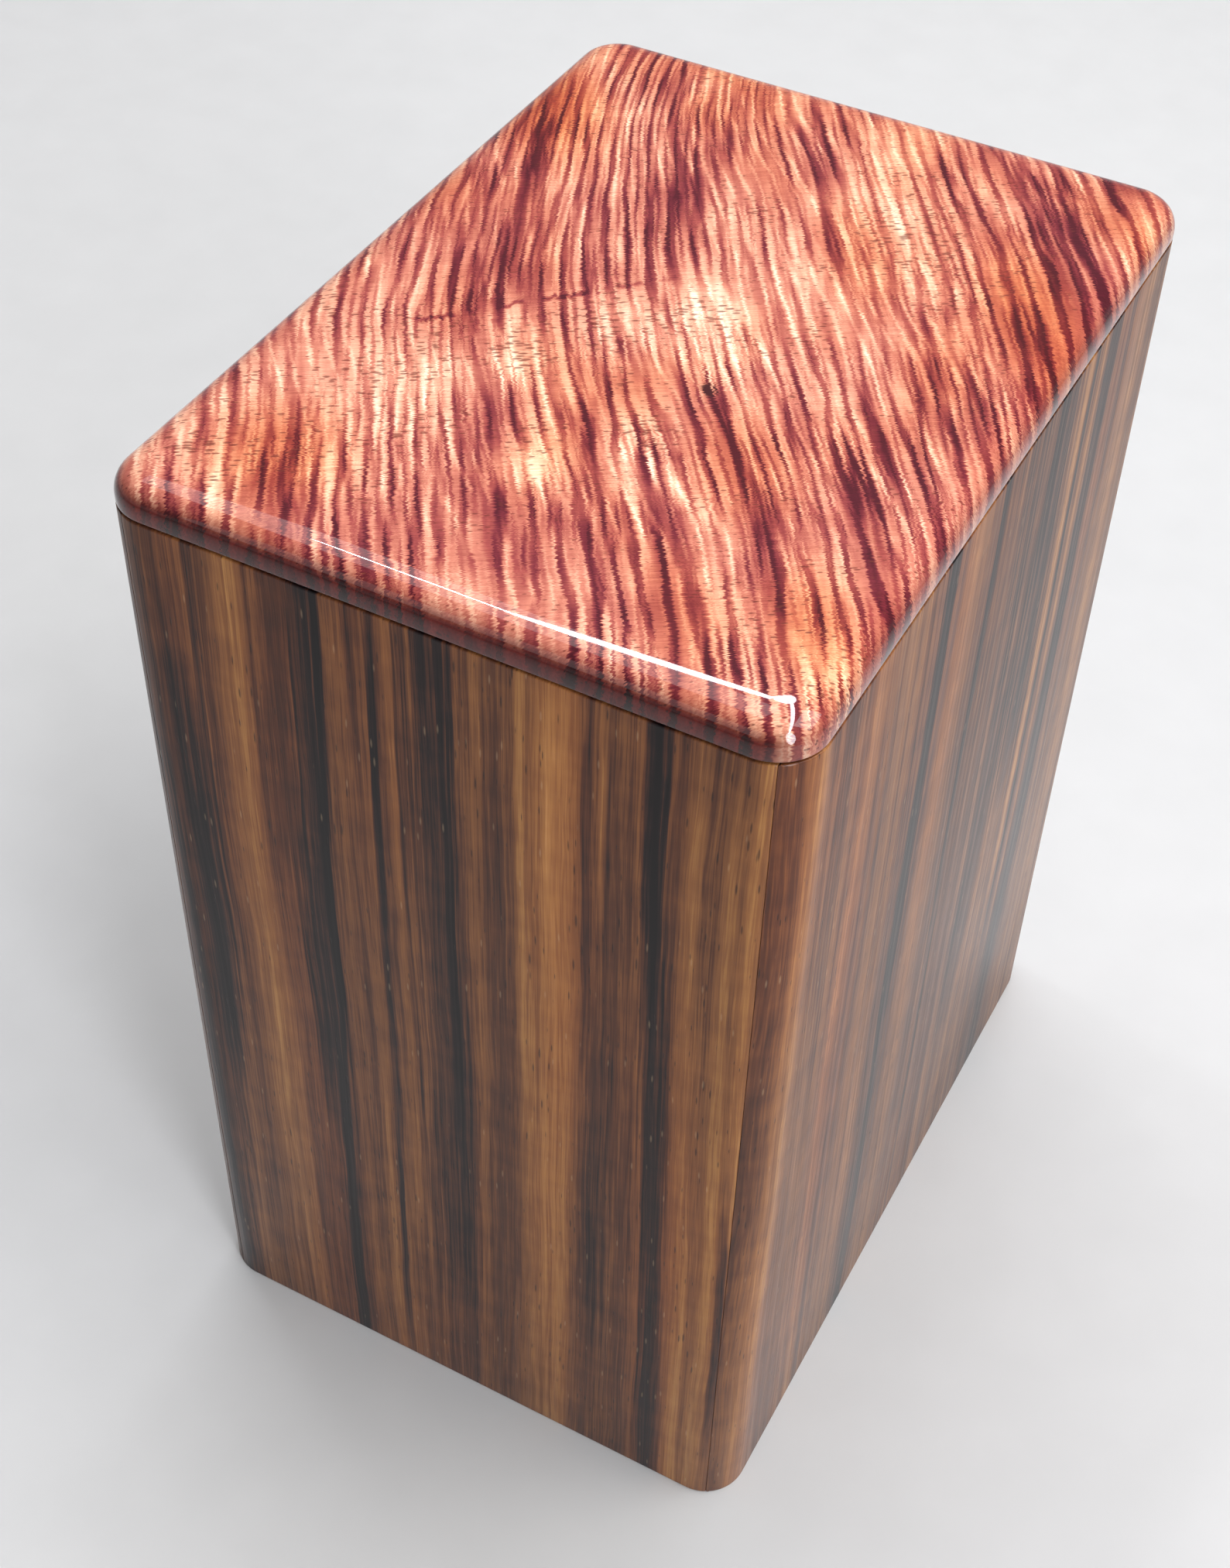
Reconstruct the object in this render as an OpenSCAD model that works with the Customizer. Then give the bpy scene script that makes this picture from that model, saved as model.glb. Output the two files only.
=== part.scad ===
// Upright wooden puzzle box with a lift-off lid and a hidden tilt lock.
// Millimetres. +Z is up, the front looks along -Y, and the origin is the middle of the foot.
// Four loose pins in the rim lock the lid's plug. Tilting the box to a side lets that side's
// pin slide outwards, where a small magnet holds it. Drawn here with all four pins withdrawn.

/* [Body] */
// Width of the front face
body_w = 140; // [120:1:180]
// Depth from the front face to the back face
body_d = 190; // [160:1:240]
// Height of the box without its lid plate
body_h = 239; // [160:1:300]
// Thickness of the four side boards
wall_t = 10; // [9:0.5:12]
// Radius of the upright corners
corner_r = 10; // [8:0.5:12]
// Width of the side boards' lip that shows on the front and back faces
lip_w = 5.3; // [4:0.1:6]

/* [Base] */
// Thickness of the base panel
base_t = 8; // [6:1:12]
// Height of the recess under the base panel
base_recess = 3; // [2:0.5:6]
// Depth of the groove that the base panel sits in
groove_d = 4; // [3:0.5:5]
// Thickness of the felt linings
felt_t = 1.2; // [0.8:0.1:2]

/* [Lid] */
// Thickness of the lid plate
lid_t = 7.5; // [7.5:0.5:12]
// How far the lid plate stands out beyond the walls
lid_proud = 0; // [0:0.1:1.5]
// Radius of the round-over on the lid plate's top edge
lid_round = 6.5; // [4:0.5:7]
// Height of the shadow gap between the lid plate and the walls
seam_gap = 0.5; // [0.3:0.1:1.5]
// Thickness of the plug board under the lid plate
plug_t = 14; // [13:0.5:18]
// Gap all round between the plug board and the rails
plug_gap = 0.5; // [0.4:0.1:1]

/* [Lock] */
// Thickness of the rim rails, from the wall inwards
rail_t = 14; // [13:0.5:18]
// Height of the rim rails
rail_h = 20; // [18:1:30]
// Diameter of a lock pin
pin_d = 6; // [5:0.5:6.5]
// Wall thickness of a sleeve
sleeve_wall = 0.95; // [0.8:0.05:1.2]
// Gap between a withdrawn pin and its magnet
pin_rest_gap = 0.4; // [0.3:0.1:0.8]
// How far a withdrawn pin's tip sits inside its sleeve
pin_tip_depth = 0.6; // [0.4:0.1:1]
// Depth of the sockets in the plug board's edges
socket_depth = 8; // [7.5:0.5:10]

/* [Hidden] */
$fn = 96;
run_gap = 0.05;     // radial clearance of a pin in its sleeve
glue_gap = 0.05;    // radial clearance of a glued-in round piece
socket_gap = 0.5;   // radial clearance of a pin in the lid's socket
bush_wall = 1;
magnet_d = 6;
magnet_t = 2;
screw_d = 3.5;
screw_head_d = 7;
screw_head_t = 2.5;
screw_bite = 5;     // how far a screw goes into the lid plate
screw_inset = 12;   // from the plug board's edge to a screw's axis
eps = 1;            // overlap of a cutting shape past the surface it opens

inner_w = body_w - 2 * wall_t;
inner_d = body_d - 2 * wall_t;
wall_h = body_h - seam_gap;
mouth_w = inner_w - 2 * rail_t;
mouth_d = inner_d - 2 * rail_t;
plug_w = mouth_w - 2 * plug_gap;
plug_d = mouth_d - 2 * plug_gap;
lid_w = body_w + 2 * lid_proud;
lid_d = body_d + 2 * lid_proud;
lid_r = corner_r + lid_proud;
pin_z = body_h - plug_t / 2;
sleeve_d = pin_d + 2 * (run_gap + sleeve_wall);
bush_bore_d = pin_d + 2 * socket_gap;
bush_d = bush_bore_d + 2 * bush_wall;
pin_length = rail_t - pin_rest_gap - pin_tip_depth;

// Each side: its name, the turn from +X, the wall's inner face and the plug's edge from the middle
SIDES = [
    ["right", 0, inner_w / 2, plug_w / 2],
    ["back", 90, inner_d / 2, plug_d / 2],
    ["left", 180, inner_w / 2, plug_w / 2],
    ["front", 270, inner_d / 2, plug_d / 2],
];
function side_nodes(kind) = [for (side = SIDES) str(kind, "_", side[0])];

// ---- shared shapes ----

// A rounded rectangle about the origin
module rounded_rect(w, d, r) {
    square([w - 2 * r, d], center = true);
    square([w, d - 2 * r], center = true);
    for (x = [-1, 1], y = [-1, 1])
        translate([x * (w / 2 - r), y * (d / 2 - r)]) circle(r);
}

// A block about the Z axis that stands on height z
module block(w, d, h, z) {
    translate([-w / 2, -d / 2, z]) cube([w, d, h]);
}

// A round bar from distance "from" to "to" outwards from the middle, on one side's lock axis
module lock_rod(side, d, from, to) {
    rotate([0, 0, side[1]]) translate([from, 0, pin_z]) rotate([0, 90, 0])
        cylinder(d = d, h = to - from);
}

// A wall board: one plan shape inside the rounded outline, with the base groove cut in it
module wall_board() {
    difference() {
        linear_extrude(wall_h) intersection() {
            rounded_rect(body_w, body_d, corner_r);
            children();
        }
        base_block();
        for (side = SIDES) lock_rod(side, magnet_d + 2 * glue_gap, side[2] - eps, side[2] + magnet_t);
    }
}

module base_block() {
    block(inner_w + 2 * groove_d, inner_d + 2 * groove_d, base_t, base_recess);
}

// ---- walls ----

// turn is 1 for the front and -1 for the back
module end_board(turn) {
    color("saddlebrown") wall_board()
        translate([lip_w - body_w / 2, turn > 0 ? -body_d / 2 : inner_d / 2])
            square([body_w - 2 * lip_w, wall_t]);
}

// turn is 1 for the right and -1 for the left
module side_board(turn) {
    color("sienna") wall_board() mirror([turn > 0 ? 0 : 1, 0]) {
        translate([inner_w / 2, -inner_d / 2]) square([wall_t, inner_d]);
        translate([body_w / 2 - lip_w, -body_d / 2]) square([lip_w, body_d]);
    }
}

// ---- base ----

module base_panel() {
    color("burlywood") base_block();
}

module base_lining() {
    color("darkslategray")
        block(inner_w - 1, inner_d - 1, felt_t, base_recess + base_t);
}

// ---- rim and lock ----

// The front and back rails run from wall to wall, and the side rails between them
module rail(side) {
    length = side[1] % 180 == 0 ? mouth_d : inner_w;
    color("peru") difference() {
        rotate([0, 0, side[1]])
            translate([side[2] - rail_t, -length / 2, body_h - rail_h]) cube([rail_t, length, rail_h]);
        lock_rod(side, sleeve_d + 2 * glue_gap, side[2] - rail_t - eps, side[2] + eps);
    }
}

module sleeve(side) {
    color("goldenrod") difference() {
        lock_rod(side, sleeve_d, side[2] - rail_t, side[2]);
        lock_rod(side, pin_d + 2 * run_gap, side[2] - rail_t - eps, side[2] + eps);
    }
}

module magnet(side) {
    color("lightgray") lock_rod(side, magnet_d, side[2], side[2] + magnet_t);
}

module pin(side) {
    color("silver")
        lock_rod(side, pin_d, side[2] - rail_t + pin_tip_depth, side[2] - pin_rest_gap);
}

// ---- lid ----

// Half of the lid plate's edge section: x runs outwards, y up, and the top outer corner is round
module lid_edge_section() {
    square([lid_r, lid_t - lid_round]);
    square([lid_r - lid_round, lid_t]);
    intersection() {
        translate([lid_r - lid_round, lid_t - lid_round]) circle(lid_round);
        square([lid_r, lid_t]);
    }
}

// A straight stretch of the lid plate's edge, centred on the +X side
module lid_edge(reach, length) {
    translate([reach - lid_r, length / 2, 0]) rotate([90, 0, 0])
        linear_extrude(length) lid_edge_section();
}

module lid_plate() {
    core_w = lid_w - 2 * lid_r;
    core_d = lid_d - 2 * lid_r;
    block(core_w, core_d, lid_t, 0);
    for (turn = [0, 180]) rotate([0, 0, turn]) {
        lid_edge(lid_w / 2, core_d);
        rotate([0, 0, 90]) lid_edge(lid_d / 2, core_w);
    }
    for (x = [-1, 1], y = [-1, 1])
        translate([x * core_w / 2, y * core_d / 2, 0]) rotate_extrude() lid_edge_section();
}

// Six screw axes, standing on the plug board's underside
module at_screws() {
    for (x = [-1, 1], y = [-1, 0, 1])
        translate([x * (plug_w / 2 - screw_inset), y * (plug_d / 2 - screw_inset), body_h - plug_t])
            children();
}

// A screw, or with a gap the hole that it sits in
module screw(gap) {
    translate([0, 0, gap > 0 ? -eps : 0])
        cylinder(d = screw_head_d + 2 * gap, h = screw_head_t + (gap > 0 ? eps : 0));
    cylinder(d = screw_d + 2 * gap, h = plug_t + screw_bite + gap);
}

module lid_top() {
    color("orangered") difference() {
        translate([0, 0, body_h]) lid_plate();
        at_screws() screw(glue_gap);
    }
}

module plug_board() {
    color("tan") difference() {
        block(plug_w, plug_d, plug_t, body_h - plug_t);
        at_screws() screw(glue_gap);
        for (side = SIDES)
            lock_rod(side, bush_d + 2 * glue_gap, side[3] - socket_depth, side[3] + eps);
    }
}

module plug_screws() {
    color("gray") at_screws() screw(0);
}

module bush(side) {
    color("gold") difference() {
        lock_rod(side, bush_d, side[3] - socket_depth, side[3]);
        lock_rod(side, bush_bore_d, side[3] - socket_depth - eps, side[3] + eps);
    }
}

module lid_lining() {
    color("darkslategray") block(plug_w - 1, plug_d - 1, felt_t, body_h - plug_t - felt_t);
}

// ---- the nodes ----

end_board(1);  // front_board
end_board(-1);  // back_board
side_board(-1);  // left_board
side_board(1);  // right_board
base_panel();
base_lining();
lid_top();
plug_board();
plug_screws();
lid_lining();
for (side = SIDES) {
    rail(side);
    sleeve(side);
    magnet(side);
    pin(side);
    bush(side);
}
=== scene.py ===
"""Looks for an upright wooden puzzle box with a curly wood lid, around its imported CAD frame.

Lengths are in metres, in the row frame: +Z up, the front face towards -Y, the right side towards +X.
"""

import math

import bmesh
import bpy
from mathutils import Matrix, Vector, noise

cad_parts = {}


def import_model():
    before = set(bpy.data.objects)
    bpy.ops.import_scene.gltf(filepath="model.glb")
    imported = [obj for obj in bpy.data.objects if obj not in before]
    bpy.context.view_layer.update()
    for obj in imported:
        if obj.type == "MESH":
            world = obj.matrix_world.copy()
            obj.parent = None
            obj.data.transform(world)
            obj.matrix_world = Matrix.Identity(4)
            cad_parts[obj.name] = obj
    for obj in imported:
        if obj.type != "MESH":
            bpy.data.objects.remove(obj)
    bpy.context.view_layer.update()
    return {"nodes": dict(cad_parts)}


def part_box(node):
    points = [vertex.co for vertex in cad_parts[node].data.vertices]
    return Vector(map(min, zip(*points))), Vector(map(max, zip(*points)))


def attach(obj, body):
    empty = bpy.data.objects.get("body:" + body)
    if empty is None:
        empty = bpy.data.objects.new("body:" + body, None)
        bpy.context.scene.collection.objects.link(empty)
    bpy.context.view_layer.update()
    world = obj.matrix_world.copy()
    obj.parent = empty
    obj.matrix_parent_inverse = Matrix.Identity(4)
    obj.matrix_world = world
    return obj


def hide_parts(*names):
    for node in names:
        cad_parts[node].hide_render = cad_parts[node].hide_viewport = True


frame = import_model()

MM = 0.001

# ---- sizes, from the frame ----

SIDES = ("right", "back", "left", "front")
lid_low, lid_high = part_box("lid_top")
wall_low, wall_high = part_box("right_board")
front_low, front_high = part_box("front_board")

BODY_W = 2 * wall_high.x
BODY_D = 2 * -front_low.y
WALL_TOP = wall_high.z
WALL_T = front_high.y - front_low.y
LIP_X = front_high.x  # where the front board ends and the side board's lip begins
LID_W = lid_high.x - lid_low.x
LID_D = lid_high.y - lid_low.y

CORNER_R = 10 * MM
LID_R = CORNER_R + (LID_W - BODY_W) / 2
CORNER = (BODY_W / 2 - CORNER_R, -BODY_D / 2 + CORNER_R)  # centre of the front right corner's round
JOINT_GAP = 0.14 * MM  # the chamfer at the joint line between front and side boards
CHAMFER_DEPTH = 1.2 * JOINT_GAP


# ---- mesh helpers ----


def new_piece(name, bm, material, smooth_angle=40):
    """A mesh object from a bmesh, smooth except over edges sharper than smooth_angle."""
    bmesh.ops.recalc_face_normals(bm, faces=bm.faces)
    mesh = bpy.data.meshes.new(name)
    bm.to_mesh(mesh)
    bm.free()
    piece = bpy.data.objects.new(name, mesh)
    bpy.context.scene.collection.objects.link(piece)
    mesh.materials.append(material)
    mesh.shade_smooth()
    mesh.set_sharp_from_angle(angle=math.radians(smooth_angle))
    return piece


def arc(centre_x, centre_y, radius, start, end, steps):
    """Points along a circle from angle start to angle end, in degrees."""
    angles = [math.radians(start + (end - start) * i / steps) for i in range(steps + 1)]
    return [(centre_x + radius * math.cos(a), centre_y + radius * math.sin(a)) for a in angles]


def rounded_rect(width, depth, radius, steps=14, spans=10):
    """A rounded rectangle's outline, with points along its straight sides too."""
    corners = []
    for turn, (sx, sy) in enumerate(((1, 1), (-1, 1), (-1, -1), (1, -1))):
        middle = (sx * (width / 2 - radius), sy * (depth / 2 - radius))
        corners.append(arc(*middle, radius, 90 * turn, 90 * turn + 90, steps))
    outline = []
    for corner, following in zip(corners, corners[1:] + corners[:1]):
        outline += corner
        start, end = Vector(corner[-1]), Vector(following[0])
        outline += [tuple(start.lerp(end, i / spans)) for i in range(1, spans)]
    return outline


def inset(outline, distance):
    """The outline moved inwards by distance, with mitred corners. It runs anticlockwise."""
    moved = []
    for i, point in enumerate(outline):
        before = Vector(point) - Vector(outline[i - 1])
        after = Vector(outline[(i + 1) % len(outline)]) - Vector(point)
        before.normalize()
        after.normalize()
        inward_a = Vector((-before.y, before.x))
        inward_b = Vector((-after.y, after.x))
        mitre = inward_a + inward_b
        mitre /= max(mitre.dot(inward_a), 1e-6)
        moved.append(tuple(Vector(point) + mitre * distance))
    return moved


def loft(bm, rings):
    """Joins rings of points, each a list of (x, y, z), and closes both ends."""
    loops = [[bm.verts.new(p) for p in ring] for ring in rings]
    count = len(loops[0])
    for low, high in zip(loops, loops[1:]):
        for i in range(count):
            j = (i + 1) % count
            bm.faces.new((low[i], low[j], high[j], high[i]))
    bm.faces.new(list(reversed(loops[0])))
    bm.faces.new(loops[-1])


def prism(outline, z_low, z_high, ease_low, ease_high, steps=4):
    """An upright prism whose end edges are eased by quarter rounds."""
    rings = []
    quarter = [math.pi / 2 * i / steps for i in range(steps + 1)]
    for angle in quarter:
        shape = inset(outline, ease_low * (1 - math.sin(angle)))
        rings.append([(x, y, z_low + ease_low * (1 - math.cos(angle))) for x, y in shape])
    for angle in reversed(quarter):
        shape = inset(outline, ease_high * (1 - math.sin(angle)))
        rings.append([(x, y, z_high - ease_high * (1 - math.cos(angle))) for x, y in shape])
    bm = bmesh.new()
    loft(bm, rings)
    return bm


# ---- node helpers ----

NOISE_LOW, NOISE_HIGH = 0.3, 0.7  # the range that most noise values keep to
BUMP_DEPTH = 0.5 * MM  # what the height fields of the polished wood stand for


class Nodes:
    """Short calls for building one material's node tree."""

    def __init__(self, name):
        self.material = bpy.data.materials.new(name)
        self.material.use_nodes = True
        self.tree = self.material.node_tree
        self.tree.nodes.clear()
        self.out = self.add("ShaderNodeOutputMaterial")
        self.shader = self.add("ShaderNodeBsdfPrincipled")
        self.link(self.shader.outputs["BSDF"], self.out.inputs["Surface"])

    def add(self, kind, **settings):
        """A new node with its settings."""
        node = self.tree.nodes.new(kind)
        for key, value in settings.items():
            setattr(node, key, value)
        return node

    def link(self, source, target):
        self.tree.links.new(source, target)

    def put(self, target, value):
        """Links value to the socket target, or sets it where value is a plain number or colour."""
        if isinstance(value, bpy.types.NodeSocket):
            self.link(value, target)
        else:
            target.default_value = value

    def math(self, operation, a, b=0.0, c=0.0):
        """The result of a math node."""
        node = self.add("ShaderNodeMath", operation=operation)
        for socket, value in zip(node.inputs, (a, b, c)):
            self.put(socket, value)
        return node.outputs[0]

    def add_up(self, *terms):
        """The sum of all terms."""
        total = terms[0]
        for term in terms[1:]:
            total = self.math("ADD", total, term)
        return total

    def times(self, a, b):
        return self.math("MULTIPLY", a, b)

    def axes(self, vector):
        """The vector's x, y and z."""
        node = self.add("ShaderNodeSeparateXYZ")
        self.link(vector, node.inputs[0])
        return node.outputs

    def vector(self, x, y, z):
        """A vector made of x, y and z."""
        node = self.add("ShaderNodeCombineXYZ")
        for socket, value in zip(node.inputs, (x, y, z)):
            self.put(socket, value)
        return node.outputs[0]

    def place(self):
        """Object coordinates: the row frame, in metres, as it is at rest."""
        return self.add("ShaderNodeTexCoord").outputs["Object"]

    def mapped(self, kind, vector, size, seed):
        """A texture node of a kind, over vector measured in cells of size, shifted by seed."""
        mapping = self.add("ShaderNodeMapping")
        self.link(vector, mapping.inputs["Vector"])
        mapping.inputs["Scale"].default_value = [1 / s for s in size]
        mapping.inputs["Location"].default_value = (seed, seed * 0.7, seed * 1.3)
        node = self.add(kind)
        self.link(mapping.outputs[0], node.inputs["Vector"])
        node.inputs["Scale"].default_value = 1.0
        return node

    def noise(self, vector, size, detail=2.0, roughness=0.5, seed=0.0):
        """Noise from 0 to 1 whose features are about size metres along each axis of vector."""
        node = self.mapped("ShaderNodeTexNoise", vector, size, seed)
        node.inputs["Detail"].default_value = detail
        node.inputs["Roughness"].default_value = roughness
        return node.outputs["Fac"]

    def cells(self, vector, size, seed):
        """Distance to the nearest of scattered points, in cells of the given size."""
        return self.mapped("ShaderNodeTexVoronoi", vector, size, seed).outputs["Distance"]

    def fade(self, value, start, end, low=0.0, high=1.0):
        """Smoothly from low, where value is start, to high, where it is end."""
        node = self.add("ShaderNodeMapRange", interpolation_type="SMOOTHSTEP")
        for socket, given in zip(node.inputs, (value, start, end, low, high)):
            self.put(socket, given)
        return node.outputs[0]

    def scale(self, value, start, end, low, high):
        """Straight from low, where value is start, to high, where it is end."""
        node = self.add("ShaderNodeMapRange")
        for socket, given in zip(node.inputs, (value, start, end, low, high)):
            self.put(socket, given)
        return node.outputs[0]

    def swing(self, value, reach, low=NOISE_LOW, high=NOISE_HIGH):
        """Straight from -reach, where value is low, to reach, where it is high."""
        return self.scale(value, low, high, -reach, reach)

    def ramp(self, value, stops):
        """A colour ramp through (position, colour) stops."""
        node = self.add("ShaderNodeValToRGB")
        band = node.color_ramp
        while len(band.elements) < len(stops):
            band.elements.new(1.0)
        for element, (position, colour) in zip(band.elements, stops):
            element.position = position
            element.color = (*colour, 1.0)
        self.put(node.inputs[0], value)
        return node.outputs["Color"]

    def mix(self, share, a, b, blend="MIX"):
        """Colour a blended with colour b, by share."""
        node = self.add("ShaderNodeMix", data_type="RGBA", blend_type=blend)
        self.put(node.inputs["Factor"], share)
        for name, value in (("A", a), ("B", b)):
            socket = [s for s in node.inputs if s.name == name and s.type == "RGBA"][0]
            self.put(socket, (*value, 1.0) if isinstance(value, tuple) else value)
        return [s for s in node.outputs if s.type == "RGBA"][0]

    def bump(self, height, depth, strength=1.0):
        """A normal from a height field from 0 to 1 that stands for depth metres."""
        node = self.add("ShaderNodeBump")
        node.inputs["Strength"].default_value = strength
        node.inputs["Distance"].default_value = depth
        self.link(height, node.inputs["Height"])
        return node.outputs[0]

    def set(self, **values):
        """Sets the shader's inputs. Underscores in names stand for spaces."""
        for key, value in values.items():
            self.put(self.shader.inputs[key.replace("_", " ")], value)


def srgb(red, green, blue):
    """A linear colour from 8-bit screen values."""
    def linear(v):
        v /= 255
        return v / 12.92 if v <= 0.04045 else ((v + 0.055) / 1.055) ** 2.4
    return (linear(red), linear(green), linear(blue))


# ---- the curly wood of the lid ----

GRAIN_ANGLE = math.radians(33)  # the lid's grain runs along its diagonal, from +X towards +Y

# Dark, light and warm patches: x, y in mm, length along the curl and width across it in mm, strength
DARK_PATCHES = (
    (-29, 51, 52, 7, 1.0),
    (-58, 29, 56, 7, 0.9),
    (-37, 1, 54, 16, 0.55),
    (-34, -18, 16, 13, 0.8),
    (-59, 4, 50, 9, 0.45),
    (-24, -34, 22, 8, 0.5),
    (-11, -50, 60, 7, 0.75),
    (-6, -68, 40, 12, 0.6),
    (-18, -44, 40, 6, 0.5),
    (27, -63, 62, 7, 1.0),
    (43, -57, 46, 8, 0.85),
    (57, -42, 56, 9, 0.9),
    (66, -30, 44, 5, 0.7),
    (43, -8, 60, 4, 0.5),
    (24, -30, 34, 5, 0.5),
    (64, 0, 34, 5, 0.7),
    (50, 62, 60, 5, 0.65),
    (61, 56, 64, 10, 0.75),
    (23, 75, 24, 3.5, 0.8),
    (-4, 72, 40, 6, 0.4),
    (-39, -82, 22, 14, 0.5),
    (6, -80, 30, 10, 0.6),
    (34, 26, 44, 3.5, 0.4),
    (-25, 82, 24, 10, 0.35),
    (-43, 57, 30, 9, 0.45),
    (60, 80, 24, 9, 0.5),
    (-61, 14, 30, 8, 0.4),
    (-62, -24, 26, 9, 0.35),
    (-25, -33, 24, 8, 0.45),
    (60, -50, 24, 9, 0.4),
    (43, -65, 22, 8, 0.4),
    (9, -81, 20, 8, 0.4),
    (8, 0, 16, 6, 0.3),
)
LIGHT_PATCHES = (
    (-40, -51, 46, 38, 1.0),
    (-36, -43, 22, 20, 1.0),
    (-22, -23, 26, 16, 0.95),
    (-9, -8, 26, 18, 1.0),
    (5, 6, 40, 22, 0.75),
    (26, 50, 66, 34, 0.95),
    (-2, 34, 40, 22, 0.6),
    (10, 30, 40, 22, 0.6),
    (-5, -51, 24, 14, 0.85),
    (-59, -31, 26, 18, 0.5),
    (-57, -70, 44, 32, 0.9),
    (49, -74, 18, 18, 0.5),
    (63, -76, 18, 16, 1.0),
    (53, 21, 26, 16, 0.65),
    (-56, 57, 40, 26, 0.45),
    (32, 0, 34, 22, 0.45),
    (24, -44, 26, 9, 0.35),
    (-42, 80, 24, 12, 0.7),
    (26, 80, 24, 12, 0.6),
    (43, 64, 24, 10, 0.6),
    (43, -16, 26, 12, 0.8),
    (9, -33, 24, 12, 0.8),
    (-8, -33, 22, 12, 0.7),
    (60, 16, 24, 10, 0.6),
)
WARM_PATCHES = (
    (-62, 58, 60, 30, 1.0),
    (-30, 74, 30, 24, 0.6),
    (58, 34, 70, 26, 0.9),
    (20, 38, 50, 20, 0.6),
    (-44, -74, 36, 30, 0.8),
    (60, -70, 40, 20, 0.8),
    (30, -36, 40, 24, 0.6),
)
KNOT = (15, -18, 5.5, 2.8, 1.0)
PATCH_EDGE, PATCH_CORE = 1.4, 0.2  # where a patch starts and where it is full, in half sizes

LID_TONES = (
    (0.0, srgb(76, 15, 28)),
    (0.17, srgb(110, 34, 44)),
    (0.37, srgb(155, 72, 66)),
    (0.58, srgb(197, 121, 99)),
    (0.79, srgb(232, 175, 143)),
    (1.0, srgb(254, 232, 202)),
)


def curl_frame(n):
    """The lid's coordinates turned so that X runs along the grain and Y along the curl stripes."""
    mapping = n.add("ShaderNodeMapping", vector_type="TEXTURE")
    n.link(n.place(), mapping.inputs["Vector"])
    mapping.inputs["Rotation"].default_value = (0, 0, GRAIN_ANGLE)
    return mapping.outputs[0]


def patch_field(n, along, across, patches):
    """The strongest of several soft oval patches, from 0 to 1."""
    field = None
    for x, y, length, width, strength in patches:
        s = x * math.cos(GRAIN_ANGLE) + y * math.sin(GRAIN_ANGLE)
        t = -x * math.sin(GRAIN_ANGLE) + y * math.cos(GRAIN_ANGLE)
        ds = n.math("DIVIDE", n.math("SUBTRACT", along, s * MM), width * MM / 2)
        dt = n.math("DIVIDE", n.math("SUBTRACT", across, t * MM), length * MM / 2)
        reach = n.math("SQRT", n.add_up(n.times(ds, ds), n.times(dt, dt)))
        one = n.fade(reach, PATCH_EDGE, PATCH_CORE, 0.0, strength)
        field = one if field is None else n.math("MAXIMUM", field, one)
    return field


def curl_coordinates(n, turned, s, t):
    """The place across the curl stripes, bent so that the stripes sway, lean and fray."""
    sway = n.noise(turned, (0.075, 0.075, 0.075), detail=0.0, seed=3.1)
    ripple = n.noise(turned, (0.014, 0.022, 0.03), detail=1.0, seed=8.4)
    fray = n.noise(turned, (0.0035, 0.00030, 0.0008), detail=1.0, roughness=0.6, seed=9.9)
    x = n.axes(n.place())[0]
    lean = n.fade(x, -75 * MM, -12 * MM, 0.19, 0.0)  # only over the left half
    leant = n.times(lean, n.math("MAXIMUM", n.math("SUBTRACT", t, 5 * MM), 0.0))
    return n.add_up(
        n.swing(fray, 0.40 * MM),
        s,
        n.swing(sway, 3.5 * MM, 0, 1),
        n.swing(ripple, 0.7 * MM, 0, 1),
        n.times(leant, -1.0),
    )


def waves(n, lines, bent, spacing, drift, edge):
    """Long wavering lines about spacing metres apart: 1 in a line and 0 between. edge is where
    along the wave, from 0 to 1, a line starts and where it is full."""
    wander = n.noise(lines, (0.020, 0.075, 0.05), detail=0.0, seed=drift)
    jitter = n.noise(lines, (0.0052, 0.026, 0.02), detail=1.0, seed=drift + 4.0)
    phase = n.add_up(
        n.math("DIVIDE", bent, spacing),
        n.swing(wander, 0.7, 0, 1),
        n.swing(jitter, 0.55, 0, 1),
    )
    wave = n.scale(n.math("SINE", n.times(phase, 2 * math.pi)), -1, 1, 0, 1)
    return n.fade(wave, *edge)


def growth_line(n, warp):
    """A broken dark line, about 1 mm wide, that runs slantwise over the left half of the lid."""
    start, end = Vector((-50, -32)) * MM, Vector((0, 20)) * MM
    x, y, _ = n.axes(n.place())
    way = (end - start).normalized()
    from_x, from_y = n.math("SUBTRACT", x, start.x), n.math("SUBTRACT", y, start.y)
    far = n.add_up(n.times(from_x, way.x), n.times(from_y, way.y))
    off = n.add_up(n.times(from_x, -way.y), n.times(from_y, way.x), warp)
    gaps = n.noise(n.place(), (0.005, 0.005, 0.02), detail=1.0, seed=71.0)
    ends = n.times(n.fade(far, 0, 8 * MM), n.fade(far, (end - start).length, 40 * MM))
    line = n.times(n.fade(n.math("ABSOLUTE", off), 1.1 * MM, 0.2 * MM), ends)
    return n.times(line, n.fade(gaps, 0.42, 0.6))


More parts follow.
